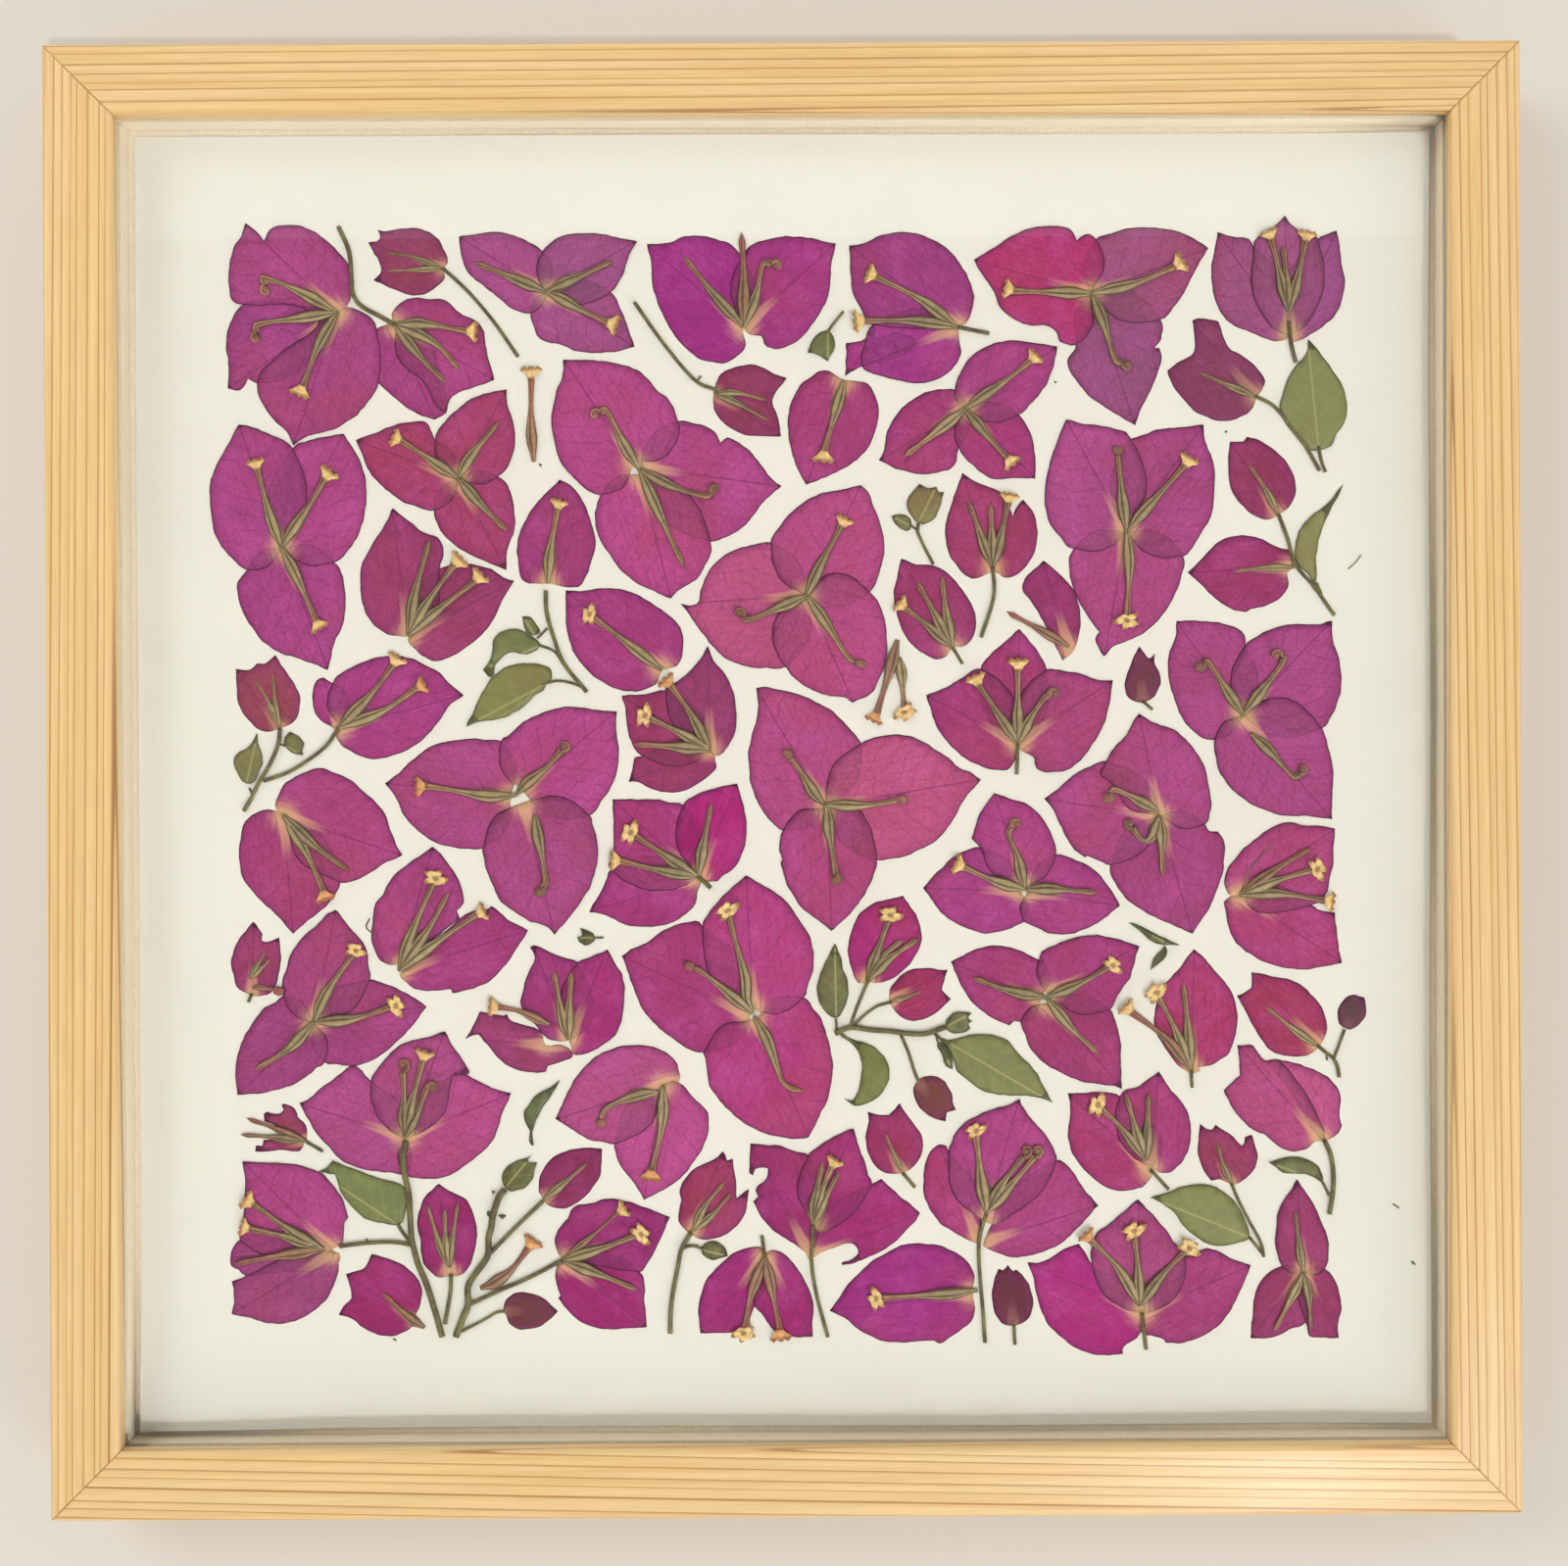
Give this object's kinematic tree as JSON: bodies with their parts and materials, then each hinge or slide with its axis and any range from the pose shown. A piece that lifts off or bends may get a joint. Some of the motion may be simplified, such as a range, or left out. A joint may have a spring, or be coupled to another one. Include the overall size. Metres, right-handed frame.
{
  "type": "pressed flower frame",
  "caption": "Square mitred pine picture frame holding pressed bougainvillea flowers, buds and leaves on cream paper under glass; lies on its back or hangs on a wall",
  "frame": {"origin": "middle of the frame's back, on the surface it lies on", "axes": "+Z out of the glass towards the viewer, +Y towards the picture's top edge, +X towards its right edge"},
  "size_m": [0.34, 0.34, 0.024],
  "materials": {
    "pine": "clear satin lacquer",
    "glass": "clear float glass",
    "card": "matt white card",
    "paper": "matt cream paper",
    "hardboard": "bare pressed fibre",
    "steel": "zinc plated",
    "petal": "dry pressed bract, papery"
  },
  "bodies": {
    "root": {"rail_bottom": "pine", "rail_right": "pine", "rail_top": "pine", "rail_left": "pine", "glass_pane": "glass", "spacer_bottom": "card", "spacer_right": "card", "spacer_top": "card", "spacer_left": "card", "mount_board": "card", "art_sheet": "paper", "back_board": "hardboard", "point_1": "steel", "point_2": "steel", "point_3": "steel", "point_4": "steel", "point_5": "steel", "point_6": "steel", "point_7": "steel", "point_8": "steel", "hanger": "steel", "hanger_screw_left": "steel", "hanger_screw_right": "steel", "flower_01": "petal", "flower_02": "petal", "flower_03": "petal", "flower_04": "petal", "flower_05": "petal", "flower_06": "petal", "flower_07": "petal", "flower_08": "petal", "flower_09": "petal", "flower_10": "petal", "flower_11": "petal", "flower_12": "petal", "flower_13": "petal", "flower_14": "petal", "flower_15": "petal", "flower_16": "petal", "flower_17": "petal", "flower_18": "petal", "flower_19": "petal", "flower_20": "petal", "flower_21": "petal", "flower_22": "petal", "flower_23": "petal", "flower_24": "petal", "flower_25": "petal", "flower_26": "petal", "flower_27": "petal", "flower_28": "petal", "flower_29": "petal", "flower_30": "petal", "flower_31": "petal", "flower_32": "petal", "flower_33": "petal", "flower_34": "petal", "flower_35": "petal", "flower_36": "petal", "flower_37": "petal"}
  },
  "joints": []
}
